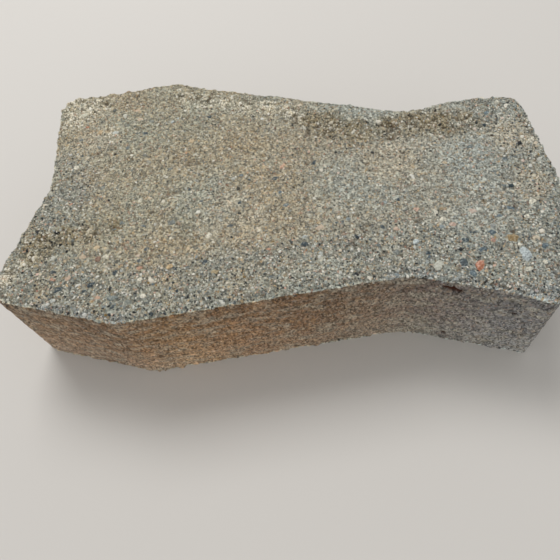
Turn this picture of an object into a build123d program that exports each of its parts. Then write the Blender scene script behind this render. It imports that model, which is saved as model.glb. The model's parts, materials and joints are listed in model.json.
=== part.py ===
# Wave-edged interlocking concrete paving stone.
#
# The plan is two square cells of the laying pattern, side by side along X. Each side of a cell is
# a shallow V wave. The left cell bulges at the front and back and is hollow at its end. The right
# cell is turned a quarter turn, so it is hollow at the front and back and bulges at its end.
# Each stone keeps half a joint away from its cells' outline, so its neighbours nest into it with
# an even joint all round. The walls are upright, and the bed face lies on the floor.

import os
from build123d import *

os.makedirs("parts", exist_ok=True)

# The laying pattern, in millimetres
cell_pitch = 127.0        # side of one square cell; a stone covers two
joint_gap = 3.0           # sand joint between neighbouring stones
wave_depth = 12.0         # how far a crest stands out from the line through the cell's corners

# The stone as it left the mould
thickness = 60.0          # bed face to wearing face
crest_radius = 25.0       # the soft turn at the middle of each wave
corner_radius = 7.0       # the four upright corners, measured at the bed face

# Wear: the corners are knocked rounder towards the wearing face, each by its own amount
front_left_worn_radius = 11.0
front_right_worn_radius = 8.0
back_right_worn_radius = 11.0
back_left_worn_radius = 10.0
arris_radius = 2.0        # the worn edge round the wearing face


def cell_corners():
    """The four corners of the stone in the laying pattern, anticlockwise from the front left."""
    length = 2 * cell_pitch
    return [(0, 0), (length, 0), (length, cell_pitch), (0, cell_pitch)]


def wave_crests():
    """The middle of each wave, anticlockwise from the front left."""
    near, far = 0.5 * cell_pitch, 1.5 * cell_pitch
    return [
        (near, -wave_depth),
        (far, wave_depth),
        (2 * cell_pitch + wave_depth, near),
        (far, cell_pitch - wave_depth),
        (near, cell_pitch + wave_depth),
        (wave_depth, near),
    ]


def stone_outline(radii):
    """The stone's plan, half a joint inside the pattern, with one radius for each corner."""
    corners, crests = cell_corners(), wave_crests()
    pattern = [corners[0], *crests[:2], corners[1], crests[2], corners[2], *crests[3:5], corners[3], crests[5]]
    with BuildSketch() as outline:
        with BuildLine():
            Polyline(*pattern, close=True)
        make_face()
        offset(amount=-joint_gap / 2, kind=Kind.INTERSECTION, mode=Mode.REPLACE)
        for crest in crests:
            fillet(outline.vertices().sort_by_distance(crest)[0], crest_radius)
        for corner, radius in zip(corners, radii):
            fillet(outline.vertices().sort_by_distance(corner)[0], radius)
    return outline.sketch


bed_outline = stone_outline([corner_radius] * 4)
worn_outline = stone_outline(
    [front_left_worn_radius, front_right_worn_radius, back_right_worn_radius, back_left_worn_radius]
)

# The origin is the middle of the bed face's box, on the floor
middle = bed_outline.bounding_box().center()
to_origin = Location((-middle.X, -middle.Y))

with BuildPart() as paving_stone:
    with BuildSketch(Plane.XY):
        add(bed_outline.moved(to_origin))
    with BuildSketch(Plane.XY.offset(thickness)):
        add(worn_outline.moved(to_origin))
    loft(ruled=True)
    wearing_face = paving_stone.faces().sort_by(Axis.Z)[-1]
    fillet(wearing_face.edges(), arris_radius)

paving_stone.part.label = "paving_stone"
export_step(paving_stone.part, "parts/paving_stone.step")
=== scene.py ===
# %% [markdown]
# # A worn, wave-edged paving stone
#
# The object is one block of pressed concrete, about 261 by 147 by 60 mm. Its plan is two wavy
# squares side by side, so that such stones lock into each other. The solid gives its exact size.
# What is left to do here is the look of an old stone: sand and gravel washed out of the face,
# frayed edges, smooth walls with a film of soil, crust and pits. The block is one material all
# through, so relief comes first and colour second.

# %% Load the solid model
import json
import math

import bpy
import numpy as np
from mathutils import Matrix, Vector

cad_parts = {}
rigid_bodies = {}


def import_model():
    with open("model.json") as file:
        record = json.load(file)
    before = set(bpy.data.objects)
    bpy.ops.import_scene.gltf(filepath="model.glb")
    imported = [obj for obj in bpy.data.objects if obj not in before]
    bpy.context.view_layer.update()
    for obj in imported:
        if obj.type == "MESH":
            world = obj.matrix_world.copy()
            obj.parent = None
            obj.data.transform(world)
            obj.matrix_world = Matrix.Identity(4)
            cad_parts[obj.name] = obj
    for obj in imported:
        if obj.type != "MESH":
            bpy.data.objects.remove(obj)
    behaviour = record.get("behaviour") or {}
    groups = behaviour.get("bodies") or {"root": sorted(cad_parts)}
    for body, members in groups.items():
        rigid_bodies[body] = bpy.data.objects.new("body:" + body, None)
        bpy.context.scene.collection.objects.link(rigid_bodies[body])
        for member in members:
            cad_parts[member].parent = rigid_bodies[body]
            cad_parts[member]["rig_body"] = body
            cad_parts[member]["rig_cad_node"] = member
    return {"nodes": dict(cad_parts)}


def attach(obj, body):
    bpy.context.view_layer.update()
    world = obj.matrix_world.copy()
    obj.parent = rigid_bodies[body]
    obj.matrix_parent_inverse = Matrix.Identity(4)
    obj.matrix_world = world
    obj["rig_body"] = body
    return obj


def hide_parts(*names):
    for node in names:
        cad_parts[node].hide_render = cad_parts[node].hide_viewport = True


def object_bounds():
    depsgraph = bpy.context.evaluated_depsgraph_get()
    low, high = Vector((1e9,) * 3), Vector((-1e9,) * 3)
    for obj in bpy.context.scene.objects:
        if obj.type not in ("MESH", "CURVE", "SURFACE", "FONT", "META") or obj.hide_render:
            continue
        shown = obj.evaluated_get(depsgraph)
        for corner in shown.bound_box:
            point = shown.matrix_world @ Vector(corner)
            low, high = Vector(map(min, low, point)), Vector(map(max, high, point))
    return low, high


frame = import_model()
solid_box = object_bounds()
print("solid box in mm:", [[round(1000 * c, 1) for c in corner] for corner in solid_box])

# %% [markdown]
# ## Helpers
#
# A few small things are used all through: millimetres, colours as a painter writes them, a way to
# select just one object, and a way to add a node. A node has hidden sockets of the same names for
# other kinds of data, so a socket is looked up among those in use.

# %% Helpers
MM = 0.001                      # one millimetre in Blender's metres


def linear(hex_colour):
    """An sRGB hex colour as the linear RGBA that Blender's nodes expect."""
    parts = [int(hex_colour[i:i + 2], 16) / 255 for i in (1, 3, 5)]
    return [c / 12.92 if c <= 0.04045 else ((c + 0.055) / 1.055) ** 2.4 for c in parts] + [1.0]


def live(sockets, name=None):
    """The first socket in use, or the one with this name."""
    return next(s for s in sockets if s.enabled and name in (None, s.name))


def add_node(tree, kind, inputs=None, **settings):
    """Adds a node with its settings and inputs. A node as an input stands for its first output."""
    node = tree.nodes.new(kind)
    for name, value in settings.items():
        setattr(node, name, value)
    for name, value in (inputs or {}).items():
        socket = node.inputs[name] if isinstance(name, int) else live(node.inputs, name)
        if isinstance(value, bpy.types.Node):
            value = live(value.outputs)
        if isinstance(value, bpy.types.NodeSocket):
            tree.links.new(value, socket)
        else:
            socket.default_value = value
    return node


def choose(piece):
    """Makes one object the only selected one and the active one, ready for an operator."""
    bpy.ops.object.select_all(action="DESELECT")
    piece.select_set(True)
    bpy.context.view_layer.objects.active = piece


def triangles(piece):
    """How many triangles a mesh has."""
    return sum(len(face.vertices) - 2 for face in piece.data.polygons)


# %% [markdown]
# ## Camera
#
# The photograph looks down at the stone from close by, a little from the right, and the camera
# is slightly turned about its own line of sight. The picture is a crop, so its middle isn't quite
# on the lens axis. A small lens shift puts that right without changing the perspective.

# %% Camera
IMAGE_SIDE = 560                # the picture is square, in pixels
FOCAL_PIXELS = 530.5            # focal length, in pixels of the picture
AXIS_PIXEL = (317.6, 249.4)     # where the lens axis meets the picture
CAMERA_PLACE = Vector((31.6, -161.6, 261.5)) * MM
HEADING, TILT, ROLL = math.radians(7.05), math.radians(58.1), math.radians(-6.0)

bpy.ops.object.camera_add(location=CAMERA_PLACE)
camera = bpy.context.object
camera.data.sensor_width = 36.0
camera.data.lens = camera.data.sensor_width * FOCAL_PIXELS / IMAGE_SIDE
camera.data.shift_x = (IMAGE_SIDE / 2 - AXIS_PIXEL[0]) / IMAGE_SIDE
camera.data.shift_y = (AXIS_PIXEL[1] - IMAGE_SIDE / 2) / IMAGE_SIDE
camera.data.clip_start = 0.01
turn = Matrix.Rotation(HEADING, 4, "Z") @ Matrix.Rotation(math.pi / 2 - TILT, 4, "X")
turn = turn @ Matrix.Rotation(ROLL, 4, "Z")
camera.rotation_euler = turn.to_euler()
bpy.context.scene.camera = camera
print("lens", round(camera.data.lens, 1), "mm, shift", round(camera.data.shift_x, 3),
      round(camera.data.shift_y, 3))

# %% [markdown]
# ## Floor and light
#
# Daylight falls from above and behind, soft but not flat: the face is bright, the front wall is
# in shade, and each grain has a small dark side. One large lamp behind the stone gives that
# direction, a weak one in front opens the shade, and an even white world fills the rest.

# %% Floor, lamps and world
FLOOR_COLOUR = "#d6d2cc"
FLOOR_SIZE = 6.0                # metres
SKY_STRENGTH = 0.5
LAMP_AIM = Vector((0, 0, 30 * MM))      # the middle of the stone

bpy.ops.mesh.primitive_plane_add(size=FLOOR_SIZE)
floor = bpy.context.object
floor.name = "floor"
floor_paint = bpy.data.materials.new("matt_floor_paint")
floor_paint.use_nodes = True
floor_shader = floor_paint.node_tree.nodes["Principled BSDF"]
floor_shader.inputs["Base Color"].default_value = linear(FLOOR_COLOUR)
floor_shader.inputs["Roughness"].default_value = 0.8
floor.data.materials.append(floor_paint)


def add_lamp(name, place, size, watts):
    """A square area lamp that points at the middle of the stone."""
    bpy.ops.object.light_add(type="AREA", location=place)
    lamp = bpy.context.object
    lamp.name = name
    lamp.data.shape = "SQUARE"
    lamp.data.size = size
    lamp.data.energy = watts
    lamp.rotation_euler = (LAMP_AIM - Vector(place)).to_track_quat("-Z", "Y").to_euler()


add_lamp("daylight", (-0.4, 0.7, 1.3), 0.7, 12.5)
add_lamp("fill", (0.3, -1.4, 0.6), 1.4, 2.0)

world = bpy.data.worlds.new("studio")
bpy.context.scene.world = world
world.use_nodes = True
sky = world.node_tree.nodes["Background"]
sky.inputs["Color"].default_value = (1, 1, 1, 1)
sky.inputs["Strength"].default_value = SKY_STRENGTH
bpy.context.scene.view_settings.view_transform = "Standard"

# %% [markdown]
# ## The block
#
# The solid is exact but too plain to carry relief: its flat faces are a few huge triangles. A
# copy of it gets an even skin of small squares, about 1 mm each, from a voxel remesh, which also
# keeps it closed. The bed face lies on the ground, so its squares are thinned out again.

# %% A finely meshed copy
SKIN_STEP = 1.0 * MM            # size of one square of the skin
BED_KEEP = 0.08                 # share of the bed face's triangles that stay
BED_RIM = 3                     # rows of squares around the bed face that stay fine
LOOKS_DOWN = -0.98              # height part of a bed square's normal

solid = frame["nodes"]["paving_stone"]
choose(solid)
bpy.ops.object.duplicate()
stone = bpy.context.object
stone.name = "worn_stone"
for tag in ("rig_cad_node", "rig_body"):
    del stone[tag]
stone.parent = None

bpy.ops.object.mode_set(mode="EDIT")
bpy.ops.mesh.select_all(action="SELECT")
bpy.ops.mesh.remove_doubles(threshold=0.001 * MM)
bpy.ops.object.mode_set(mode="OBJECT")

skin = stone.modifiers.new("even skin", "REMESH")
skin.mode = "VOXEL"
skin.voxel_size = SKIN_STEP
bpy.ops.object.modifier_apply(modifier=skin.name)

for face in stone.data.polygons:
    face.select = face.normal.z < LOOKS_DOWN
bpy.ops.object.mode_set(mode="EDIT")
bpy.ops.mesh.select_mode(type="FACE")
for _ in range(BED_RIM):
    bpy.ops.mesh.select_less()
bpy.ops.mesh.decimate(ratio=BED_KEEP)
bpy.ops.mesh.select_mode(type="VERT")
bpy.ops.object.mode_set(mode="OBJECT")
print("block:", triangles(stone), "triangles")

# %% [markdown]
# ## Swellings
#
# No block leaves its mould quite like the next one. This one's front right corner and two places
# at its back stand out by 1 or 2 mm more than the solid does. Proportional editing does that in
# one stroke each: it pulls the points of one upright line of the skin sideways, and those around
# the line follow, less and less. The bed face is still selected from the last cell and goes along
# with the corner, so the lowest 5 mm of the foot move too, by 1 mm or less.

# %% Pulled out corner and wave
SWELLINGS = [
    # middle of the line that is pulled, how far it goes, and how far around it the skin follows, in mm
    ((117.7, -59.3), (1.2, -1.7), 7.0),
    ((-66.0, 73.3), (0.0, 1.2), 20.0),
    ((89.0, 54.9), (-0.2, 1.6), 24.0),
]
LINE_WIDTH = 1.5                # mm, points this near the line are pulled all the way

for (x, y), (right, back), reach in SWELLINGS:
    choose(stone)
    for vertex in stone.data.vertices:
        vertex.select = math.hypot(vertex.co.x / MM - x, vertex.co.y / MM - y) < LINE_WIDTH
    pulled = sum(vertex.select for vertex in stone.data.vertices)
    bpy.ops.object.mode_set(mode="EDIT")
    bpy.ops.transform.translate(value=(right * MM, back * MM, 0), use_proportional_edit=True,
                                proportional_edit_falloff="SMOOTH", proportional_size=reach * MM)
    bpy.ops.mesh.select_all(action="DESELECT")
    bpy.ops.object.mode_set(mode="OBJECT")
    print("pulled", pulled, "points out by", round(math.hypot(right, back), 1), "mm")

# %% [markdown]
# ## Where the stone is worn, and how
#
# The wear has zones: a coarse, well washed band along the front and the right end, crust near the
# back left corner, soil at the back, a frayed upper edge, a ragged foot. Each zone is painted on
# the skin as a number from 0 to 1, worked out from distances, as one would paint vertex weights
# by hand. Relief, grains and colours all read the same numbers, so they agree with each other.
# This cell measures the distances.

# %% Distances on the stone
HEIGHT = solid_box[1][2] / MM   # bed face to wearing face
WASHED_FRONT, WASHED_RIGHT = -30, 118       # mm, the rim in front of this and right of this is washed

corner_places = [vertex.co / MM for vertex in solid.data.vertices]
rim = []                        # the outline of the bed face, as short straight pieces
for face in solid.data.polygons:
    foot = [np.array(corner_places[i].xy) for i in face.vertices if corner_places[i].z < 0.01]
    if len(foot) == 2:
        rim.append(foot)

places = np.empty(3 * len(stone.data.vertices))
stone.data.vertices.foreach_get("co", places)
places = places.reshape(-1, 3) / MM
normals = np.array([vertex.normal for vertex in stone.data.vertices])


def gap_to(points, start, end):
    """Distance from each point to one straight piece, in plan or in space."""
    run = np.subtract(end, start)
    share = np.clip((points - start) @ run / (run @ run), 0, 1)
    return np.linalg.norm(points - start - share[:, None] * run, axis=1)


def distance_to(pieces):
    """Distance in plan from each point of the skin to the nearest of some straight pieces."""
    nearest = np.full(len(places), np.inf)
    for start, end in pieces:
        nearest = np.minimum(nearest, gap_to(places[:, :2], start, end))
    return nearest


def ease(value):
    """Holds a value between 0 and 1 and rounds off both ends of its slope."""
    value = np.clip(value, 0, 1)
    return value * value * (3 - 2 * value)


def patches(spots):
    """Soft round spots on the face, each given as its middle and radius in mm."""
    paint = np.zeros(len(places))
    for x, y, radius in spots:
        paint = np.maximum(paint, ease(1.5 - np.hypot(places[:, 0] - x, places[:, 1] - y) / radius))
    return paint


inward = distance_to(rim)
washed_rim = [(start, end) for start, end in rim
              if start[1] + end[1] < 2 * WASHED_FRONT or start[0] + end[0] > 2 * WASHED_RIGHT]
print("rim of", len(rim), "pieces,", len(washed_rim), "of them at the front and the right end")

# %% [markdown]
# ## Rocks
#
# The sand and gravel in concrete come from a river or a pit, which mixes whatever rocks lie
# upstream. A random colour for each grain would look like confetti. A short list of rocks with
# their shares looks right, because it has few colours and most of them are dull. A grain carries
# one random number, and a colour ramp with hard steps turns that number into a rock.

# %% Rocks
ROCKS = [
    # name, share of all grains, colour
    ("basalt", 0.15, "#3c494f"),
    ("slate", 0.20, "#63737a"),
    ("greenstone", 0.20, "#9d9f8f"),
    ("quartz", 0.16, "#d1cbb8"),
    ("sandstone", 0.17, "#c1a275"),
    ("feldspar", 0.05, "#c39077"),
    ("jasper", 0.01, "#b87656"),
    ("ironstone", 0.03, "#94763f"),
    ("marble", 0.03, "#bcc5c5"),
]


def rock_chance(wanted):
    """The random number that stands for a rock: the middle of its share."""
    edge = 0.0
    for name, share, colour in ROCKS:
        if name == wanted:
            return edge + 0.5 * share
        edge += share


def rock_colour(tree, chance):
    """Turns a random number into the colour of a rock, each as often as its share."""
    ramp = add_node(tree, "ShaderNodeValToRGB", {0: chance})
    ramp.color_ramp.interpolation = "CONSTANT"
    edge = 0.0
    for number, (name, share, colour) in enumerate(ROCKS):
        stop = ramp.color_ramp.elements[0] if number == 0 else ramp.color_ramp.elements.new(edge)
        stop.position, stop.color = edge, linear(colour)
        edge += share
    ramp.color_ramp.elements.remove(ramp.color_ramp.elements[-1])
    return ramp


print("shares of the rocks add up to", round(sum(share for name, share, colour in ROCKS), 2))

# %% [markdown]
# ## Pebbles that are placed one by one
#
# About a hundred pebbles catch the eye on this stone: the brick red one and the pale one near the
# front right corner, the dark ones along the front. Chance wouldn't put them there, so they are
# listed by rock, as measured on the face. The list comes first, as the sand leaves room for them.

# %% Pebbles that are placed one by one
# Middle x and y, length and width in mm, turn in degrees, how far paste covers it, how light it is
MARKED = {
    "jasper": [
        (86.5, -45, 6.6, 5, 70, 0.1, 0.43), (94, -32, 2.8, 2.4, 0, 0.5, 0.38),
        (-111, 40, 2.4, 1.8, 30, 0.2, 0.42),
    ],
    "marble": [
        (107, -39, 8.6, 5.4, 100, 0, 0.38), (-30, -21, 2.8, 2.2, 0, 0.5, 0.4),
        (10, -30, 3, 2.2, 20, 0.3, 0.4), (18, -39, 3.4, 2.6, 0, 0.5, 0.4),
        (60, -33, 3.4, 2.6, 40, 0.1, 0.45), (-99, -63, 3.4, 2.6, 10, 0.5, 0.4),
        (-48, 20, 4.4, 2.6, 0, 0.7, 0.4), (-94, 36, 4, 3, 20, 0.4, 0.6),
        (-62, 46, 2.2, 1.8, 0, 0, 0.45), (-64.5, 43, 2.6, 1.6, 60, 0.1, 0.4),
    ],
    "ironstone": [
        (102.5, -30.5, 7.4, 5, -15, 0.2, 0.4), (-29, -49, 3.4, 2.8, 0, 0.4, 0.42),
        (-112, -46, 3, 2.4, 0, 0.6, 0.4), (37, 30, 2.8, 1.4, -30, 0.2, 0.75),
        (39.5, 28, 2.4, 1.3, 60, 0.2, 0.75), (73, -15, 5.4, 1.6, 10, 0.4, 0.36),
    ],
    "sandstone": [
        (-50, -46, 3.8, 3.2, 40, 0.4, 0.43), (-86, -36, 3.6, 2.8, 20, 0.4, 0.55),
        (113, -31, 4, 3, 30, 0.6, 0.45),
    ],
    "basalt": [
        (80, -44, 4.6, 3.8, 100, 0, 0.47), (82, -32, 4, 3.2, 0, 0.1, 0.45),
        (65, -39, 3.4, 2.8, 30, 0.05, 0.45), (10, -34, 4, 4, 20, 0, 0.45),
        (13, 14, 3, 2.4, 70, 0, 0.45), (53, -9, 3, 2.2, 0, 0, 0.45), (27, -22, 3, 2.2, 20, 0, 0.47),
        (-34, -44, 3.8, 3, 80, 0.05, 0.45), (-48, -47, 3.2, 2.6, 0, 0.05, 0.45),
        (-44, -58, 2.4, 2, 0, 0, 0.4), (-71, -66, 3.4, 2.4, 20, 0.1, 0.45),
        (-74, -49, 3, 2.2, 60, 0.05, 0.45), (-83.5, -55.5, 3.8, 2.4, 30, 0, 0.45),
        (-86, -58.5, 3, 2.2, 0, 0.1, 0.45), (-103, -49, 5.4, 3.2, 10, 0.1, 0.43),
        (-98, -58, 5, 2.8, 35, 0.05, 0.43), (-78, 35, 3.6, 3, 0, 0, 0.45),
        (-45, 47, 3.4, 2.8, 80, 0, 0.45), (-19, 3, 2.8, 2, 0, 0, 0.45),
        (-6, 4, 4.6, 3.2, 15, 0.05, 0.43), (106, 15, 3.6, 3, 30, 0.2, 0.45),
        (106, -1, 4.6, 3.2, 0, 0, 0.42), (90, 23, 3, 2.6, 0, 0.2, 0.45),
        (99, 38, 3.4, 2.8, 40, 0, 0.36), (-62, -37, 3.2, 2.4, 0, 0.1, 0.5),
        (-64, -43, 3, 2.4, 20, 0.1, 0.5), (-95, -40, 3.2, 2.6, 0, 0.2, 0.5),
        (-48, -2, 2.4, 1.8, 60, 0, 0.45), (-25, -24, 3.2, 2.4, 10, 0.1, 0.47),
        (-41, -10, 2.6, 1.8, 30, 0, 0.47), (-22, -11, 2.6, 1.6, 50, 0, 0.45),
    ],
    "slate": [
        (-3, -5, 3, 2.4, 90, 0.1, 0.45), (-23, 6, 2.8, 2.2, 0, 0, 0.4),
        (0, -12, 3.6, 2.8, 30, 0.2, 0.45), (30, -20, 3, 2.4, 0, 0.2, 0.5),
        (47, -11, 3.2, 2.4, 20, 0.2, 0.5), (104, -14, 5.4, 3.6, -20, 0, 0.36),
        (99, -19, 4, 2.8, 10, 0, 0.38), (94, -28, 4, 3, 0, 0, 0.36), (89, -37, 4.2, 3, 10, 0, 0.36),
        (83, -49, 4.4, 3.2, 0, 0.1, 0.4), (72, -25, 3, 2.6, 0, 0.1, 0.55),
        (116, -35, 3.6, 3, 30, 0, 0.38), (-72, -62, 5, 2.6, 10, 0.3, 0.36),
        (-65, -64, 4.2, 3.4, 50, 0.5, 0.3), (51, -49, 4.6, 2.8, 20, 0, 0.55),
        (51, -38, 4.6, 3.6, 45, 0.4, 0.32), (102, 47, 4.6, 3.4, 0, 0.1, 0.45),
        (-92, -1, 3, 2.6, 80, 0.3, 0.38), (-60, 11, 3, 2.2, 0, 0.3, 0.36),
        (-53, -22, 4.6, 3.4, 20, 0.4, 0.36), (-66, -24, 3, 1.8, -30, 0.2, 0.36),
        (-77, -22, 3.4, 2, 30, 0.3, 0.36), (-80, -26, 2.8, 2.2, 0, 0.3, 0.38),
        (-72, 16, 3.8, 3, 10, 0.5, 0.42), (-75, -1, 3.4, 2.8, 0, 0.5, 0.4),
        (-76, 44, 3, 2.4, 0, 0.5, 0.4), (-85, 25, 2.8, 2.2, 70, 0.2, 0.34),
        (-101, 26, 3.4, 2.2, -20, 0.4, 0.38),
    ],
    "feldspar": [
        (61, -15, 4.4, 2.8, 20, 0.35, 0.5), (77, -24, 3.4, 2.4, 0, 0.45, 0.42),
        (87, -16, 4, 3.2, 0, 0.5, 0.4), (52, -26, 4, 3.2, 0, 0.7, 0.42),
        (17, -25, 4.6, 3.6, 10, 0.8, 0.42), (-6, -37, 2.8, 2.2, 0, 0.3, 0.38),
        (-91, -41, 4.4, 3.2, 0, 0.7, 0.4), (-95, -52, 3.2, 2.6, 40, 0.4, 0.5),
        (-102, -53, 2.8, 2.4, 0, 0.1, 0.38), (-64, -47, 4, 3, 30, 0.4, 0.38),
        (-79, -62, 3.4, 2.6, 0, 0.5, 0.42), (114, 14, 3, 2.2, 0, 0.6, 0.48),
        (-3, 12, 4, 2, 50, 0.4, 0.47), (-86, 53, 4, 2.8, 40, 0.8, 0.5),
        (-83, 46, 3.6, 2.8, 0, 0.75, 0.5),
    ],
    "quartz": [
        (69, -45, 6, 4.6, 60, 0.4, 0.38), (73, -21, 3.6, 2.8, 0, 0.1, 0.5),
        (107, -47, 3.4, 2.6, 30, 0.3, 0.42), (115, -43, 3.6, 2.8, 0, 0.1, 0.5),
        (-80, -41, 4, 3, 0, 0.3, 0.5), (-62, -53, 3.4, 2.8, 20, 0.1, 0.6),
        (-59, -61, 3, 2.4, 0, 0, 0.6), (-35, -29, 4.8, 3.8, 50, 0.1, 0.52),
        (-11, -27, 3, 2.4, 10, 0.2, 0.47), (32, -5, 3, 2.2, 50, 0.2, 0.5),
        (115, -11, 4.6, 3.6, 20, 0.1, 0.47), (111, -19, 3.2, 2.6, 0, 0.1, 0.5),
        (121, 28, 4.4, 3.2, 60, 0.1, 0.45), (108, 55, 3.2, 2.4, 0, 0.2, 0.45),
        (112, 52, 3.8, 3, 30, 0, 0.8), (-109, 12, 3.6, 3, 0, 0.1, 0.6),
        (-71, -9, 3, 2.4, 70, 0.2, 0.45), (-115, 49, 4.4, 3.2, 20, 0.5, 0.5),
    ],
}
print(sum(len(rows) for rows in MARKED.values()), "pebbles to place")

# %% [markdown]
# ## Spots and zones
#
# Lime crust, soil and pale patches lie where they lie, so each is a handful of round spots. Soft
# edges that overlap hide that they are round, and the noise that comes later breaks them up. The
# other zones follow from the shape: how far a point is from the edge, how high it is and where it
# faces. Painting them by formula keeps them right when the solid changes.

# %% Spots on the stone
FRAYED_SPOTS = [
    (119, -58, 14), (108, -56, 8), (94, -52, 6), (80, -49, 6), (64, -45, 7), (50, -48, 6),
    (-98, -66, 7), (-84, -69, 6), (-70, -72, 5), (-130, -56, 8),
]
CRUST_SPOTS = [
    (-60, 62, 6), (-48, 59, 6), (-38, 57, 5), (-27, 55, 6), (-14, 53, 5), (-2, 50, 5), (3, 45, 4),
    (-124, 56, 11), (-120, 44, 7), (-108, 56, 7), (-124, -52, 5), (-117, -43, 4), (-96, 36, 4),
]
SOIL_SPOTS = [
    (11, 42, 7), (20, 40, 9), (34, 35, 9), (50, 37, 8), (64, 40, 9), (78, 40, 10), (90, 40, 8),
    (-114, -36, 8), (-103, -30, 6), (-91, -28, 5), (-80, -24, 4),
]
PALE_SPOTS = [(-22, -18, 16), (50, 14, 13), (-102, 30, 12), (-112, 50, 9), (112, 32, 12), (116, 0, 9)]
CHIPS = [
    # start and end of a broken out streak in the front wall, and half its width, in mm
    ((72.6, -53.0, 53.5), (78.0, -54.0, 52.1), 1.45),
    ((103.2, -58.7, 40.3), (103.8, -58.8, 39.8), 0.8),
    ((77.4, -53.8, 6.6), (78.4, -54.0, 5.8), 0.9),
    ((-62.3, -72.5, 18.4), (-61.7, -72.4, 18.0), 0.8),
]
print(len(CRUST_SPOTS), "spots of crust,", len(SOIL_SPOTS), "of soil,", len(CHIPS), "chips")

# %% Zones of wear
ARRIS_REACH = 3.2               # mm, how far the worn upper edge reaches
FRAYED_REACH = 4.0              # mm, the same where the edge has frayed
SHOULDER_REACH = 9.0            # mm, how far the face is rounded down towards its edge
FOOT_REACH = 5.0                # mm, how high the ragged foot reaches
WASHED_WIDTH, WASHED_FADE = 34.0, 14.0      # mm, the washed band and the soft part of it

upward = ease((normals[:, 2] - 0.5) / 0.4)
sideways = ease((0.5 - np.abs(normals[:, 2])) / 0.4)
below_face = HEIGHT - places[:, 2]
from_edge = inward * (below_face < 8) + below_face      # the face isn't quite flat, so it takes both
corner_loss = 2.5 * patches(FRAYED_SPOTS[:1])           # mm of wall that the front right corner lost

zones = {}
zones["face"] = upward
zones["wall"] = sideways * ease((below_face - 0.8 - corner_loss) / 1.6)
zones["arris"] = ease(1.4 - from_edge / ARRIS_REACH)
zones["shoulder"] = upward * ease(1 - inward / SHOULDER_REACH)
zones["foot"] = sideways * ease(1 - places[:, 2] / FOOT_REACH)
zones["crust"] = upward * patches(CRUST_SPOTS)
zones["soil"] = upward * patches(SOIL_SPOTS)
zones["pale"] = upward * patches(PALE_SPOTS)
zones["washed"] = ease((normals[:, 2] - 0.15) / 0.4)
zones["washed"] *= ease((WASHED_WIDTH - distance_to(washed_rim)) / WASHED_FADE)
zones["washed"] *= 1 - 0.8 * np.maximum(zones["crust"], zones["soil"])
zones["weathered"] = upward * (1 - zones["washed"])
zones["frayed"] = patches(FRAYED_SPOTS) * ease((normals[:, 2] + 0.1) / 0.4)
zones["frayed"] *= ease(1.5 - (from_edge - corner_loss) / FRAYED_REACH)
zones["chip"] = np.zeros(len(places))
for start, end, half_width in CHIPS:
    zones["chip"] = np.maximum(zones["chip"], ease(1.6 - gap_to(places, start, end) / half_width))
print("share of the skin:", {name: round(float(paint.mean()), 3) for name, paint in zones.items()})

# %% [markdown]
# ## Zones for grains
#
# Grains show wherever the skin looks up, but not everywhere the same ones. Coarse sand and gravel
# keep clear of the sharp edge, where they would have fallen out. Loose crumbs lie on crust and
# soil, and the walls show only flat grit in their smooth skin.

# %% Zones for grains
clear = np.ones(len(places))    # room for the pebbles that are placed one by one
for rows in MARKED.values():
    for x, y, length, width, *_ in rows:
        gap = np.hypot(places[:, 0] - x, places[:, 1] - y)
        clear *= ease(3 * gap / (0.5 * (length + width) + 0.6) - 0.9)

zones["open"] = clear * ease((normals[:, 2] - 0.05) / 0.25)
zones["coarse"] = zones["open"] * zones["washed"]
zones["settled"] = zones["open"] * np.maximum(0.8 * zones["washed"], ease((inward - 1.5) / 3))
zones["crumbly"] = zones["open"] * ease((inward - 1.5) / 2)
zones["crumbly"] *= np.maximum(zones["crust"], 0.8 * zones["soil"])
zones["gritty"] = zones["wall"] * (1 - zones["chip"]) * ease((places[:, 2] - 1) / 1.5)
zones["gritty"] *= 0.7 + 0.3 * ease((30 - places[:, 0]) / 40)       # less of it at the right

for name, paint in zones.items():
    layer = stone.data.attributes.new(name, "FLOAT", "POINT")
    layer.data.foreach_set("value", paint)
print(len(zones), "zones painted on", len(places), "points")

# %% [markdown]
# ## Relief
#
# Sculpting this by hand would take brush strokes at every scale. A Geometry Nodes tree does the
# same with patterns: each layer is one noise of a known size in millimetres, pressed into or
# raised from the skin along its normal, only in its own zone. The layers are added up and applied
# once, so that the result is plain geometry, and the tree keeps the sum for the colours.

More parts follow.
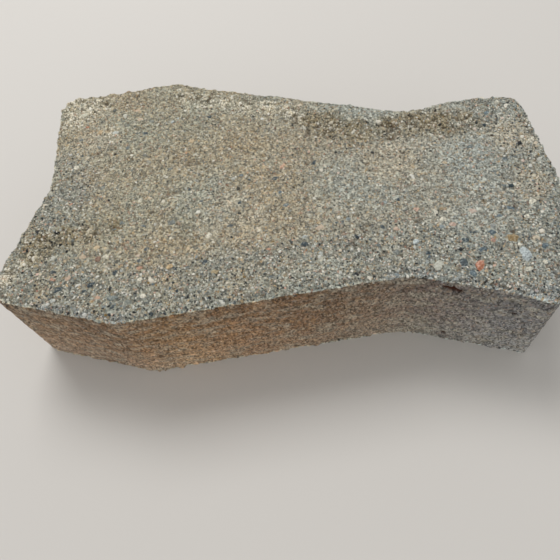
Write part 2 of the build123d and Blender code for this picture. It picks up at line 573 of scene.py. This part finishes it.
# %% Layers of relief
RELIEF = [
    # zone, pattern, size mm, pattern value from, to, height mm from, to, stretch x, y, z if uneven
    ("face", "FBM", 40.0, 0.3, 0.7, -0.35, 0.35),        # an uneven face
    ("face", "FBM", 9.0, 0.3, 0.7, -0.25, 0.25),
    ("face", "FBM", 2.2, 0.3, 0.7, -0.25, 0.25),
    ("face", "FBM", 6.0, 0.62, 0.72, 0.0, -0.7),         # pits where gravel has gone
    ("washed", "cells", 3.0, 0.0, 0.7, 0.3, -0.3),       # humps over coarse grains
    ("weathered", "FBM", 3.2, 0.35, 0.65, -0.3, 0.2, 1, 1.5, 1),
    ("crust", "FBM", 3.0, 0.44, 0.58, -0.8, 0.6),        # lumps of lime
    ("soil", "FBM", 2.6, 0.38, 0.6, -0.9, 0.5),
    ("arris", "FBM", 11.0, 0.56, 0.76, 0.0, -0.9),       # knocks along the edge
    ("arris", "FBM", 2.4, 0.35, 0.65, -0.3, 0.2),
    ("arris", "cells", 3.6, 0.1, 0.6, 0.15, -0.4),
    ("shoulder", "FBM", 26.0, 0.35, 0.7, 0.0, -0.4),
    ("frayed", "FBM", 2.4, 0.35, 0.65, -0.6, 0.3),
    ("wall", "FBM", 1.8, 0.3, 0.7, -0.05, 0.05),         # the mould left it smooth
    ("wall", "FBM", 14.0, 0.35, 0.65, -0.12, 0.12, 1, 1, 6),
    ("wall", "FBM", 4.0, 0.65, 0.71, 0.0, -0.9),         # air holes
    ("foot", "FBM", 6.0, 0.35, 0.7, -1.1, 0.6),          # torn paste at the foot
    ("foot", "FBM", 2.5, 0.35, 0.65, -0.5, 0.5),
    ("chip", "FBM", 3.0, 0.3, 0.6, -3.0, -2.2),
]
print(len(RELIEF), "layers, the coarsest", max(layer[2] for layer in RELIEF), "mm")

# %% Relief
tree = bpy.data.node_groups.new("stone relief", "GeometryNodeTree")
tree.interface.new_socket("Geometry", in_out="INPUT", socket_type="NodeSocketGeometry")
tree.interface.new_socket("Geometry", in_out="OUTPUT", socket_type="NodeSocketGeometry")
source = add_node(tree, "NodeGroupInput")
place = add_node(tree, "GeometryNodeInputPosition")
total = None
for layer, (zone, pattern, size, low, high, bottom, top, *stretch) in enumerate(RELIEF):
    stretch = stretch or (1, 1, 1)
    apart = (0.37 * layer, 0.11 * layer, 0)     # so that no two layers draw the same noise
    scaled = add_node(tree, "ShaderNodeVectorMath", {0: place, 1: stretch}, operation="MULTIPLY")
    moved = add_node(tree, "ShaderNodeVectorMath", {0: scaled, 1: apart}, operation="ADD")
    if pattern == "cells":
        drawn = add_node(tree, "ShaderNodeTexVoronoi", {"Vector": moved, "Scale": 1 / (size * MM)})
    else:
        drawn = add_node(tree, "ShaderNodeTexNoise", {
            "Vector": moved, "Scale": 1 / (size * MM), "Detail": 2.0}, noise_type=pattern)
    height = add_node(tree, "ShaderNodeMapRange", {
        "Value": live(drawn.outputs, "Distance" if pattern == "cells" else None),
        "From Min": low, "From Max": high, "To Min": bottom * MM, "To Max": top * MM},
        interpolation_type="SMOOTHSTEP")
    weight = add_node(tree, "GeometryNodeInputNamedAttribute", {"Name": zone})
    share = add_node(tree, "ShaderNodeMath", {0: height, 1: weight}, operation="MULTIPLY")
    total = add_node(tree, "ShaderNodeMath", {0: total, 1: share}, operation="ADD") if total else share
kept = add_node(tree, "GeometryNodeStoreNamedAttribute", {
    "Geometry": live(source.outputs), "Name": "rise", "Value": total})
outward = add_node(tree, "GeometryNodeInputNormal")
push = add_node(tree, "ShaderNodeVectorMath", {0: outward, "Scale": total}, operation="SCALE")
pressed = add_node(tree, "GeometryNodeSetPosition", {"Geometry": kept, "Offset": push})
ground = (-1, -1, 0)            # nothing goes below the floor; the stone is far smaller than 1 m
resting = add_node(tree, "GeometryNodeInputPosition")
resting = add_node(tree, "ShaderNodeVectorMath", {0: resting, 1: ground}, operation="MAXIMUM")
resting = add_node(tree, "GeometryNodeSetPosition", {"Geometry": pressed, "Position": resting})
add_node(tree, "NodeGroupOutput", {0: resting})


def apply_tree(piece, tree):
    """Runs a Geometry Nodes tree on a piece and applies it, so that plain geometry stays."""
    choose(piece)
    modifier = piece.modifiers.new(tree.name, "NODES")
    modifier.node_group = tree
    bpy.ops.object.modifier_apply(modifier=modifier.name)


apply_tree(stone, tree)
rise = np.array([value.value for value in stone.data.attributes["rise"].data]) / MM
print("relief from", round(float(rise.min()), 2), "to", round(float(rise.max()), 2), "mm")

# %% [markdown]
# ## Sand and gravel
#
# Rain has washed the cement from between the grains, so the face is made of them. Painting grains
# on a smooth skin looks like wallpaper up close: real ones cast small shadows. So each visible
# grain is a small stone of its own. A few shapes are modelled here, each from a primitive that is
# stretched and dented. There are thousands of copies, so they have few faces: 6 for a pointed chip
# of fine sand, 20 for coarse sand, and 48 for gravel, which is thinned out into flat facets.

# %% Grain shapes
GRAIN_STRETCH = [
    (1.0, 0.8, 0.7), (1.2, 0.75, 0.65), (0.95, 0.9, 0.8), (1.1, 0.95, 0.55), (1.3, 0.7, 0.6)]
GRAVEL_KEEP = 0.6               # share of a gravel shape's faces that stay


def grain_shapes(name, fineness, dents):
    """A collection of stones about 1 mm long, with dents in mm. Fineness 0 gives pointed chips."""
    group = bpy.data.collections.new(name)
    for number, stretch in enumerate(GRAIN_STRETCH):
        bpy.ops.object.select_all(action="DESELECT")
        if fineness:
            bpy.ops.mesh.primitive_ico_sphere_add(subdivisions=fineness, radius=0.5 * MM)
        else:
            bpy.ops.mesh.primitive_cone_add(vertices=4, radius1=0.6 * MM, depth=0.9 * MM)
        shape = bpy.context.object
        shape.name = f"{name}_{number}"
        bpy.ops.object.mode_set(mode="EDIT")
        bpy.ops.transform.resize(value=stretch)
        bpy.ops.transform.vertex_random(offset=dents * MM, seed=number + 1)
        if fineness > 1:
            bpy.ops.mesh.decimate(ratio=GRAVEL_KEEP)
        bpy.ops.object.mode_set(mode="OBJECT")
        shape.users_collection[0].objects.unlink(shape)
        group.objects.link(shape)
    print(name, "has", triangles(shape), "triangles")
    return group


chip_shapes = grain_shapes("chip_shape", 0, 0.1)
sand_shapes = grain_shapes("sand_shape", 1, 0.11)
gravel_shapes = grain_shapes("gravel_shape", 2, 0.06)
pebble_shapes = grain_shapes("pebble_shape", 2, 0.12)
all_shapes = [shape for group in (chip_shapes, sand_shapes, gravel_shapes, pebble_shapes)
              for shape in group.objects]

# %% [markdown]
# ## Sowing
#
# Scattering thousands of grains by hand is out of the question, and a particle system would drop
# them on top of each other. A Geometry Nodes tree strews points over one zone of the skin with a
# smallest gap between them, puts a random shape on each, sinks it in a little and spins it. Sizes
# follow a sieve curve as in real sand, with many small grains and few large ones. Each grain keeps
# three random numbers: its rock, how far paste covers it, and how light it is.

# %% Points and sizes for grains
SIEVE_POWER = 1.5               # the higher it is, the more of the grains are small


def strewn(tree, zone, gap, seed):
    """Points on the skin, at least a gap in mm apart, as dense as the zone's paint is strong."""
    ground = add_node(tree, "GeometryNodeObjectInfo", {"Object": stone}, transform_space="ORIGINAL")
    paint = add_node(tree, "GeometryNodeInputNamedAttribute", {"Name": zone})
    return add_node(tree, "GeometryNodeDistributePointsOnFaces", {
        "Mesh": live(ground.outputs, "Geometry"), "Density Factor": paint, "Seed": seed,
        "Distance Min": gap * MM, "Density Max": 2 / (gap * MM) ** 2}, distribute_method="POISSON")


def sieved(tree, smallest, largest, seed):
    """A random size in mm for each grain, many of them small and few large."""
    size = add_node(tree, "FunctionNodeRandomValue", {
        "Min": smallest ** -SIEVE_POWER, "Max": largest ** -SIEVE_POWER, "Seed": seed})
    return add_node(tree, "ShaderNodeMath", {0: size, 1: -1 / SIEVE_POWER}, operation="POWER")


def one_half(tree, points, side):
    """Keeps only the points of the left (-1) or of the right (1) half of the stone."""
    where = add_node(tree, "ShaderNodeSeparateXYZ", {0: add_node(tree, "GeometryNodeInputPosition")})
    gone = add_node(tree, "ShaderNodeMath", {
        0: live(where.outputs, "X"), 1: -side}, operation="MULTIPLY")
    gone = add_node(tree, "FunctionNodeCompare", {"A": gone, "B": 0.0}, operation="GREATER_THAN")
    return add_node(tree, "GeometryNodeDeleteGeometry", {
        "Geometry": points, "Selection": gone}, domain="POINT")


# %% Grains on points
TILT_MOST = 0.35                # radians, how far a grain leans off the skin
CHANCES = [("tint", 0.0), ("cover", 0.15), ("shade", 0.0)]      # each random number and its least


def grains_on(tree, points, shapes, rotation, size, seed):
    """Puts a random shape on each point, spun its own way, with random numbers for its looks."""
    spin = add_node(tree, "FunctionNodeRandomValue", {
        "Min": (-TILT_MOST, -TILT_MOST, 0.0), "Max": (TILT_MOST, TILT_MOST, 2 * math.pi),
        "Seed": seed + 1}, data_type="FLOAT_VECTOR")
    spin = add_node(tree, "FunctionNodeEulerToRotation", {0: spin})
    spun = add_node(tree, "FunctionNodeRotateRotation", {"Rotation": rotation, "Rotate By": spin},
                    rotation_space="LOCAL")
    kinds = add_node(tree, "GeometryNodeCollectionInfo", {
        "Collection": shapes, "Separate Children": True})
    kind = add_node(tree, "FunctionNodeRandomValue", {
        "Min": 0, "Max": len(shapes.objects) - 1, "Seed": seed + 2}, data_type="INT")
    grains = add_node(tree, "GeometryNodeInstanceOnPoints", {
        "Points": points, "Instance": kinds, "Pick Instance": True, "Instance Index": kind,
        "Rotation": spun, "Scale": size})
    for number, (word, least) in enumerate(CHANCES):
        chance = add_node(tree, "FunctionNodeRandomValue", {
            "Min": least, "Max": 1.0, "Seed": seed + 3 + number})
        grains = add_node(tree, "GeometryNodeStoreNamedAttribute", {
            "Geometry": grains, "Name": word, "Value": chance}, domain="INSTANCE")
    return grains


# %% Sowing
pieces = {"worn_stone": stone}


def sow(name, shapes, zone, gap, smallest, largest, sink, seed, side=0):
    """Sows shapes over a zone as one mesh. Gap and sizes are in mm.

    Sink is the depth of a grain's middle below the skin, as a share of its size. Side keeps only
    one half, where one mesh would have too many faces.
    """
    bpy.ops.object.select_all(action="DESELECT")
    bpy.ops.mesh.primitive_plane_add(size=MM)
    piece = bpy.context.object
    piece.name = name
    tree = bpy.data.node_groups.new(name, "GeometryNodeTree")
    tree.interface.new_socket("Geometry", in_out="OUTPUT", socket_type="NodeSocketGeometry")
    spread = strewn(tree, zone, gap, seed)
    size = sieved(tree, smallest, largest, seed)
    depth = add_node(tree, "ShaderNodeMath", {0: size, 1: -sink * MM}, operation="MULTIPLY")
    down = add_node(tree, "ShaderNodeVectorMath", {0: live(spread.outputs, "Normal"), "Scale": depth},
                    operation="SCALE")
    points = add_node(tree, "GeometryNodeSetPosition", {"Geometry": spread, "Offset": down})
    if side:
        points = one_half(tree, points, side)
    grains = grains_on(tree, points, shapes, live(spread.outputs, "Rotation"), size, seed)
    whole = add_node(tree, "GeometryNodeRealizeInstances", {"Geometry": grains})
    add_node(tree, "NodeGroupOutput", {0: whole})
    apply_tree(piece, tree)
    pieces[name] = piece
    print(name, triangles(piece), "triangles")


SOWN = [
    # name, shapes, zone, gap, smallest and largest size, sink, seed, side
    ("fine_sand_left", chip_shapes, "open", 0.58, 0.45, 0.9, 0.05, 21, -1),
    ("fine_sand_right", chip_shapes, "open", 0.58, 0.45, 0.9, 0.05, 22, 1),
    ("coarse_sand", sand_shapes, "settled", 2.2, 0.8, 1.8, 0.15, 11),
    ("washed_sand", sand_shapes, "coarse", 1.5, 0.8, 1.8, 0.12, 61),
    ("gravel", gravel_shapes, "settled", 6.0, 1.9, 4.0, 0.26, 31),
    ("crumbs", sand_shapes, "crumbly", 1.3, 0.9, 2.0, 0.06, 71),
    ("wall_grit", chip_shapes, "gritty", 0.92, 0.5, 1.0, 0.32, 41),
]
for row in SOWN:
    sow(*row)

# %% [markdown]
# ## Laying the marked pebbles
#
# Each pebble of the list is a copy of a pebble shape, stretched to its measured size and turned. A
# ray from above finds the skin at its place, so it lies sunk in the stone however the relief
# came out. In the end all of them are joined into one piece.

# %% Marked pebbles
PEBBLE_HEIGHT = 0.5             # height of a pebble as a share of its width
PEBBLE_SINK = 0.24              # how deep its middle lies, as a share of its height

bpy.context.view_layer.update()
laid = []
for rock, rows in MARKED.items():
    for x, y, length, width, turn, cover, shade in rows:
        model = pebble_shapes.objects[len(laid) % len(pebble_shapes.objects)]
        pebble = model.copy()
        pebble.data = model.data.copy()
        bpy.context.scene.collection.objects.link(pebble)
        choose(pebble)
        height = PEBBLE_HEIGHT * width
        sides = (length, width, height)
        pebble.scale = [side * MM / span for side, span in zip(sides, pebble.dimensions)]
        pebble.rotation_euler.z = math.radians(turn)
        _, ground, _, _ = stone.ray_cast(Vector((x, y, 2 * HEIGHT)) * MM, Vector((0, 0, -1)))
        pebble.location = ground - Vector((0, 0, PEBBLE_SINK * height * MM))
        bpy.ops.object.transform_apply(location=True, rotation=True, scale=True)
        for word, value in (("tint", rock_chance(rock)), ("cover", cover), ("shade", shade)):
            layer = pebble.data.attributes.new(word, "FLOAT", "POINT")
            layer.data.foreach_set("value", [value] * len(pebble.data.vertices))
        laid.append(pebble)
for pebble in laid:
    pebble.select_set(True)
bpy.ops.object.join()
marked = bpy.context.object
marked.name = "marked_pebbles"
bpy.ops.object.origin_set(type="ORIGIN_CURSOR")
pieces[marked.name] = marked
print(marked.name, len(laid), "pebbles,", triangles(marked), "triangles")

# %% [markdown]
# ## The colour of the paste
#
# Paste is cement and the finest sand. It weathers to a sandy grey, cooler to the right, greyer
# where rain washes it, brown where soil settles and yellowish white where lime comes out. The face
# is mixed like a painter's ground: a slow drift between two colours first, then one coat for each
# zone, each with blotches of its own so that no coat has an even edge.

# %% Start and finish a material
PASTE_PAINTS = ["wall", "washed", "pale", "soil", "crust", "frayed", "arris", "chip", "rise"]


def start_material(name, more_paints):
    """A material, its tree and shader, a node for places, and a node for each painted number."""
    material = bpy.data.materials.new(name)
    material.use_nodes = True
    tree = material.node_tree
    shader = tree.nodes["Principled BSDF"]
    shader.inputs["IOR"].default_value = 1.5
    shader.inputs["Specular IOR Level"].default_value = 0.3         # mineral, so barely shiny
    place = live(add_node(tree, "ShaderNodeTexCoord").outputs, "Object")
    paints = {word: add_node(tree, "ShaderNodeAttribute", attribute_name=word)
              for word in [*PASTE_PAINTS, *more_paints]}
    return material, tree, shader, place, paints


def finish_material(tree, shader, colour, dull, bump):
    """Joins what was mixed to the shader, and prints how many nodes it took."""
    for name, node in (("Base Color", colour), ("Roughness", dull), ("Normal", bump)):
        tree.links.new(live(node.outputs), shader.inputs[name])
    print(len(tree.nodes), "nodes in the material")


print("both materials read", PASTE_PAINTS)

# %% Paste on the face
PASTE_TAN, PASTE_GREY, PASTE_COOL = "#ccbd9e", "#c6c5af", "#c9d2cc"
DRIFT = 45 * MM                 # size of the drift between tan and grey
COOL_FROM, COOL_TO = -20 * MM, 140 * MM     # from left to right, where the paste turns cooler
COOL_SHIFT = 50 * MM            # how far the drift moves that
COATS = [
    # zone, colour, least and most cover, size of its blotches in mm, or 0 if it covers raised lumps
    ("washed", "#a8ada3", 0.2, 0.8, 14.0),
    ("pale", "#e0d6bd", 0.3, 0.8, 9.0),
    ("soil", "#a9956a", 0.2, 0.75, 7.0),
    ("crust", "#f4ead0", 0.1, 0.95, 0),
    ("frayed", "#b4bcbe", 0.2, 0.8, 5.0),
]


def face_colour(tree, place, paints):
    """The colour of paste on the face, with what lies on it."""
    drift = add_node(tree, "ShaderNodeTexNoise", {"Vector": place, "Scale": 1 / DRIFT, "Detail": 3.0})
    drift = add_node(tree, "ShaderNodeMapRange", {"Value": drift, "From Min": 0.38, "From Max": 0.62})
    where = add_node(tree, "ShaderNodeSeparateXYZ", {0: place})
    cool = add_node(tree, "ShaderNodeMath", {0: drift, 1: COOL_SHIFT, 2: live(where.outputs, "X")},
                    operation="MULTIPLY_ADD")
    cool = add_node(tree, "ShaderNodeMapRange", {
        "Value": cool, "From Min": COOL_FROM, "From Max": COOL_TO})
    colour = linear(PASTE_TAN)
    for share, other in ((drift, PASTE_GREY), (cool, PASTE_COOL)):
        colour = add_node(tree, "ShaderNodeMix", {
            "Factor": share, "A": colour, "B": linear(other)}, data_type="RGBA")
    for zone, hex_colour, least, most, size in COATS:
        if size:
            blotch = add_node(tree, "ShaderNodeTexNoise", {
                "Vector": place, "Scale": 1 / (size * MM), "Detail": 3.0})
            ends = {"From Min": 0.35, "From Max": 0.55}
        else:
            blotch = paints["rise"]
            ends = {"From Min": -0.4 * MM, "From Max": 0.1 * MM}
        blotch = add_node(tree, "ShaderNodeMapRange", {
            "Value": blotch, **ends, "To Min": least, "To Max": most})
        paint = add_node(tree, "ShaderNodeMath", {0: paints[zone], 1: blotch}, operation="MULTIPLY")
        colour = add_node(tree, "ShaderNodeMix", {
            "Factor": paint, "A": colour, "B": linear(hex_colour)}, data_type="RGBA")
    return colour


# %% [markdown]
# ## The colour of the walls
#
# The walls kept the smooth skin of the mould and stood in damp ground, so soil has browned them,
# most at the left and near the top. The colour goes from place to place along the stone by a short
# list, one colour for the top and one for the foot of each place. The foot's colour is greyer, and
# lighter too, as painted light against the shade near the floor. Stretched noise streaks the wall,
# painted shade darkens it towards its top edge, and a finer noise rubs it off here and there. The
# back wall isn't seen and is taken as less soiled.

# %% Film on the walls
WALLS = [
    # place along the stone in mm, colour near the top, colour near the foot
    (-110, "#957a60", "#b39d8a"), (-75, "#8f7359", "#c6ab92"), (-50, "#a07e5a", "#dcbf9d"),
    (-20, "#977657", "#bc9d80"), (10, "#886c52", "#ac957e"), (40, "#89735f", "#b0a18e"),
    (70, "#7e736c", "#a8a69a"), (100, "#838180", "#b0afab"),
]
WALL_RUBBED, WALL_BACK = "#aaa493", "#978f80"
STREAK, RUB = 24 * MM, 9 * MM   # size of the streaks and of the rubbed places
PAINTED_SHADE_FROM, PAINTED_SHADE_TO = 25 * MM, 58 * MM       # heights, upwards, where painted shade darkens the wall
FOOT_FROM, FOOT_TO = 32 * MM, 2 * MM        # heights, downwards, where it takes the foot's colour


def wall_colour(tree, place):
    """The colour of the film on the walls."""
    where = add_node(tree, "ShaderNodeSeparateXYZ", {0: place})
    wall, foot = linear(WALLS[0][1]), linear(WALLS[0][2])
    for (start, _, _), (end, upper, lower) in zip(WALLS, WALLS[1:]):
        along = add_node(tree, "ShaderNodeMapRange", {
            "Value": live(where.outputs, "X"), "From Min": start * MM, "From Max": end * MM})
        wall, foot = [add_node(tree, "ShaderNodeMix", {
            "Factor": along, "A": before, "B": linear(after)}, data_type="RGBA")
            for before, after in ((wall, upper), (foot, lower))]

    noises = []
    for size, flatness in ((STREAK, 6), (RUB, 2.5)):
        flat = add_node(tree, "ShaderNodeVectorMath", {
            0: place, 1: (1, 1, flatness)}, operation="MULTIPLY")
        noises.append(add_node(tree, "ShaderNodeTexNoise", {
            "Vector": flat, "Scale": 1 / size, "Detail": 4.0}))
    streaks, rubbed = noises
    # Painted shade: the wall is darkened towards its top edge, added to the streaks, which vary its
    # tone.
    high = add_node(tree, "ShaderNodeMapRange", {
        "Value": live(where.outputs, "Z"), "From Min": PAINTED_SHADE_FROM, "From Max": PAINTED_SHADE_TO,
        "To Min": -0.25, "To Max": 0.35})
    shade = add_node(tree, "ShaderNodeMath", {0: streaks, 1: high}, operation="ADD")
    shade = add_node(tree, "ShaderNodeMapRange", {
        "Value": shade, "From Min": 0.35, "From Max": 0.95, "To Min": 1.05, "To Max": 0.66})
    wall = add_node(tree, "ShaderNodeVectorMath", {0: wall, "Scale": shade}, operation="SCALE")

    # Towards the foot the wall takes the foot's colour: greyer of its own, and lighter as painted light
    # against the shade near the floor.
    low = add_node(tree, "ShaderNodeMapRange", {
        "Value": live(where.outputs, "Z"), "From Min": FOOT_FROM, "From Max": FOOT_TO})
    low = add_node(tree, "ShaderNodeMath", {0: low, 1: streaks}, operation="MULTIPLY")
    coats = [
        # what a coat follows, where that begins and ends, the coat's most cover and its colour
        (low, 0.08, 0.5, 0.6, foot),
        (live(where.outputs, "Y"), -10 * MM, 50 * MM, 0.6, linear(WALL_BACK)),
        (rubbed, 0.46, 0.68, 0.55, linear(WALL_RUBBED)),
    ]
    for source, begin, end, most, other in coats:
        share = add_node(tree, "ShaderNodeMapRange", {
            "Value": source, "From Min": begin, "From Max": end, "To Max": most})
        wall = add_node(tree, "ShaderNodeMix", {
            "Factor": share, "A": wall, "B": other}, data_type="RGBA")
    return wall


# %% [markdown]
# ## All of the paste
#
# Grains are coated with the same paste as the block, so both materials ask one function for its
# colour. The line between face and wall is torn up by a fine noise, because the edge crumbles
# grain by grain. Soil stays in the hollows, which the kept height of the relief finds, and painted
# shade darkens them too.

# %% Paste all over
# The first colour is what the hollows are darkened to: soil and painted shade together.
HOLLOW_SOIL_AND_SHADE, CHIP_DARK = "#4a3c2b", "#4e2418"
RAGGED = 2.5 * MM               # size of the teeth between face and wall


def paste_colour(tree, place, paints):
    """The colour of cement paste, and of what lies on it, at each place of the stone."""
    ragged = add_node(tree, "ShaderNodeTexNoise", {"Vector": place, "Scale": 1 / RAGGED, "Detail": 2.0})
    walled = add_node(tree, "ShaderNodeMath", {0: paints["wall"], 1: ragged}, operation="ADD")
    colour = face_colour(tree, place, paints)
    for source, begin, end, other in (
            (walled, 0.8, 1.05, wall_colour(tree, place)),
            (paints["chip"], 0.2, 0.6, linear(CHIP_DARK))):
        share = add_node(tree, "ShaderNodeMapRange", {
            "Value": source, "From Min": begin, "From Max": end})
        colour = add_node(tree, "ShaderNodeMix", {
            "Factor": share, "A": colour, "B": other}, data_type="RGBA")
    return colour


def soil_and_shade_in_hollows(tree, colour, paints):
    """Darkens hollows with the soil that stays in them and with painted shade, but not the fresh
    breaks.
    """
    # Painted shade and soil: the deeper a hollow of the relief, the darker it is painted.
    hollow = add_node(tree, "ShaderNodeMapRange", {
        "Value": paints["rise"], "From Min": -0.6 * MM, "From Max": -1.3 * MM, "To Max": 0.65})
    for zone in ("arris", "chip"):
        clean = add_node(tree, "ShaderNodeMath", {0: 1.0, 1: paints[zone]}, operation="SUBTRACT")
        hollow = add_node(tree, "ShaderNodeMath", {0: hollow, 1: clean}, operation="MULTIPLY")
    return add_node(tree, "ShaderNodeMix", {
        "Factor": hollow, "A": colour, "B": linear(HOLLOW_SOIL_AND_SHADE)}, data_type="RGBA")


# %% [markdown]
# ## Pressed concrete
#
# The block is precast concrete: cement, sand and gravel, pressed nearly dry in a steel mould and
# weathered. It is mineral and open-pored, so it has no gloss at all, and light dies in its pits.
# The sand that is too fine to model is drawn as cells, each with its own rock and lightness. On
# the walls the mould's skin hides most of it, and pulling the mould off drew the rest out up the
# wall. A fine bump breaks up what the light would still see as smooth.

# %% Pressed concrete
DRAWN_SAND = [
    # size in mm, how much of a cell's rock may show, how far its lightness goes up and down. Real
    # fine sand is nearer 0.4 mm: it is drawn coarser here, or it wouldn't show in the render
    (1.5, 0.5, 0.2),
    (0.8, 0.8, 0.6),
]
SHOWN_ON_WALL = 0.3             # share of the drawn sand that still shows on the walls
DRAG = (1, 1, 0.75)             # less than 1 draws the cells out in that direction, here up the wall
GAP_DARK, GAP_SHADE = "#4f4738", 0.42       # between the modelled grains the paste lies in shade
GRIT = 0.6 * MM                 # size of the bumps

concrete, tree, shader, place, paints = start_material("pressed_concrete", ["face"])
colour = paste_colour(tree, place, paints)
bare = add_node(tree, "ShaderNodeMapRange", {
    "Value": paints["wall"], "To Min": 1.0, "To Max": SHOWN_ON_WALL})
whole = add_node(tree, "ShaderNodeMath", {0: 1.0, 1: paints["chip"]}, operation="SUBTRACT")
bare = add_node(tree, "ShaderNodeMath", {0: bare, 1: whole}, operation="MULTIPLY")
dragged = add_node(tree, "ShaderNodeVectorMath", {0: place, 1: DRAG}, operation="MULTIPLY")
for size, most, spread in DRAWN_SAND:
    cells = add_node(tree, "ShaderNodeTexVoronoi", {"Vector": dragged, "Scale": 1 / (size * MM)})
    chance = add_node(tree, "ShaderNodeSeparateColor", {0: live(cells.outputs, "Color")})
    rock = rock_colour(tree, live(chance.outputs, "Red"))
    seen = add_node(tree, "ShaderNodeMapRange", {
        "Value": live(chance.outputs, "Green"), "From Min": 0.4, "To Max": most})
    seen = add_node(tree, "ShaderNodeMath", {0: seen, 1: bare}, operation="MULTIPLY")
    colour = add_node(tree, "ShaderNodeMix", {
        "Factor": seen, "A": colour, "B": rock}, data_type="RGBA")
    light = add_node(tree, "ShaderNodeMapRange", {
        "Value": live(chance.outputs, "Blue"), "To Min": 1 - spread, "To Max": 1 + spread})
    colour = add_node(tree, "ShaderNodeVectorMath", {0: colour, "Scale": light}, operation="SCALE")
between = add_node(tree, "ShaderNodeMath", {0: paints["face"], 1: GAP_SHADE}, operation="MULTIPLY")
colour = add_node(tree, "ShaderNodeMix", {
    "Factor": between, "A": colour, "B": linear(GAP_DARK)}, data_type="RGBA")

grit = add_node(tree, "ShaderNodeTexNoise", {"Vector": place, "Scale": 1 / GRIT, "Detail": 2.0})
bump = add_node(tree, "ShaderNodeBump", {"Height": grit, "Strength": 0.6, "Distance": 0.25 * MM})
dull = add_node(tree, "ShaderNodeMapRange", {"Value": grit, "To Min": 1.0, "To Max": 0.9})
finish_material(tree, shader, soil_and_shade_in_hollows(tree, colour, paints), dull, bump)

# %% [markdown]
# ## River sand and gravel
#
# The grains are river sand and pit gravel: rock that water has rolled smooth, so a clean grain has
# a faint sheen that paste doesn't. Most still wear a film of paste, which is why their colours
# look so muted: rain has cleaned them best along the washed edge, and lime covers them most. The
# film takes away sheen and colour together. Each grain's own lightness sets it off from the next.

# %% Rock under a film of paste
VEIN = 0.9 * MM                 # size of the light and dark veins in a grain
FILM_SIZE = 22 * MM             # size of the patches where the film is thick or thin
FILM_CHANGES = [
    # zone, and how much more of the film there is
    ("washed", -0.32), ("soil", 0.2), ("crust", 0.8), ("wall", 0.45)]

own_paints = [word for word, least in CHANCES]
sand, tree, shader, place, paints = start_material("river_sand", own_paints)
rock = rock_colour(tree, paints["tint"])
veins = add_node(tree, "ShaderNodeTexNoise", {"Vector": place, "Scale": 1 / VEIN, "Detail": 3.0})
veined = add_node(tree, "ShaderNodeMapRange", {
    "Value": veins, "From Min": 0.35, "From Max": 0.65, "To Min": 0.55, "To Max": 1.4})
rock = add_node(tree, "ShaderNodeVectorMath", {0: rock, "Scale": veined}, operation="SCALE")

film = add_node(tree, "ShaderNodeTexNoise", {"Vector": place, "Scale": 1 / FILM_SIZE, "Detail": 3.0})
film = add_node(tree, "ShaderNodeMapRange", {
    "Value": film, "From Min": 0.35, "From Max": 0.65, "To Min": 0.6, "To Max": 1.1})
film = add_node(tree, "ShaderNodeMath", {0: film, 1: paints["cover"]}, operation="MULTIPLY")
flecks = add_node(tree, "ShaderNodeMapRange", {
    "Value": veins, "From Min": 0.5, "From Max": 0.65, "To Min": -0.05, "To Max": 0.3})
film = add_node(tree, "ShaderNodeMath", {0: film, 1: flecks}, operation="ADD")
for zone, change in FILM_CHANGES:
    film = add_node(tree, "ShaderNodeMath", {
        0: paints[zone], 1: change, 2: film}, operation="MULTIPLY_ADD")
    film = add_node(tree, "ShaderNodeClamp", {0: film})
colour = add_node(tree, "ShaderNodeMix", {
    "Factor": film, "A": rock, "B": paste_colour(tree, place, paints)}, data_type="RGBA")
dull = add_node(tree, "ShaderNodeMapRange", {"Value": film, "To Min": 0.5, "To Max": 0.95})
print(sand.name, len(tree.nodes), "nodes so far")

# %% Light and dark grains
MIDDLE_SHADE = 0.45             # a grain of this shade keeps its colour
LIMED_LIGHTER = 0.3             # how much lighter grains are in the crust
WASHED_APART = 0.4              # how much further apart light and dark grains are where washed
TONES = [
    # shade where the tone is strongest, the tone, and how much of it that is
    (0.0, "#282b2c", 1.0),
    (1.0, "#e6e3d8", 0.72),
]
light = add_node(tree, "ShaderNodeMath", {
    0: paints["crust"], 1: LIMED_LIGHTER, 2: paints["shade"]}, operation="MULTIPLY_ADD")
apart = add_node(tree, "ShaderNodeMath", {0: light, 1: MIDDLE_SHADE}, operation="SUBTRACT")
apart = add_node(tree, "ShaderNodeMath", {0: apart, 1: paints["washed"]}, operation="MULTIPLY")
light = add_node(tree, "ShaderNodeMath", {
    0: apart, 1: WASHED_APART, 2: light}, operation="MULTIPLY_ADD")
brighter = add_node(tree, "ShaderNodeMapRange", {
    "Value": light, "From Min": MIDDLE_SHADE, "From Max": 1.0, "To Min": 1.0, "To Max": 1.15})
colour = add_node(tree, "ShaderNodeVectorMath", {0: colour, "Scale": brighter}, operation="SCALE")
for strongest, tone, most in TONES:
    toned = add_node(tree, "ShaderNodeMapRange", {
        "Value": light, "From Min": MIDDLE_SHADE, "From Max": strongest, "To Max": most})
    colour = add_node(tree, "ShaderNodeMix", {
        "Factor": toned, "A": colour, "B": linear(tone)}, data_type="RGBA")
bump = add_node(tree, "ShaderNodeBump", {"Height": veins, "Strength": 0.3, "Distance": 0.1 * MM})
finish_material(tree, shader, soil_and_shade_in_hollows(tree, colour, paints), dull, bump)

# %% [markdown]
# ## Finish
#
# Every piece rides on the one body, since the stone has no moving parts. The worn stone takes the
# place of the plain solid. The grain shapes were only models for the copies, so they go.

# %% Dress, ride and finish
for piece in pieces.values():
    piece.data.materials.clear()
    piece.data.materials.append(concrete if piece is stone else sand)
    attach(piece, "root")
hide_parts("paving_stone")
for shape in all_shapes:
    bpy.data.objects.remove(shape)
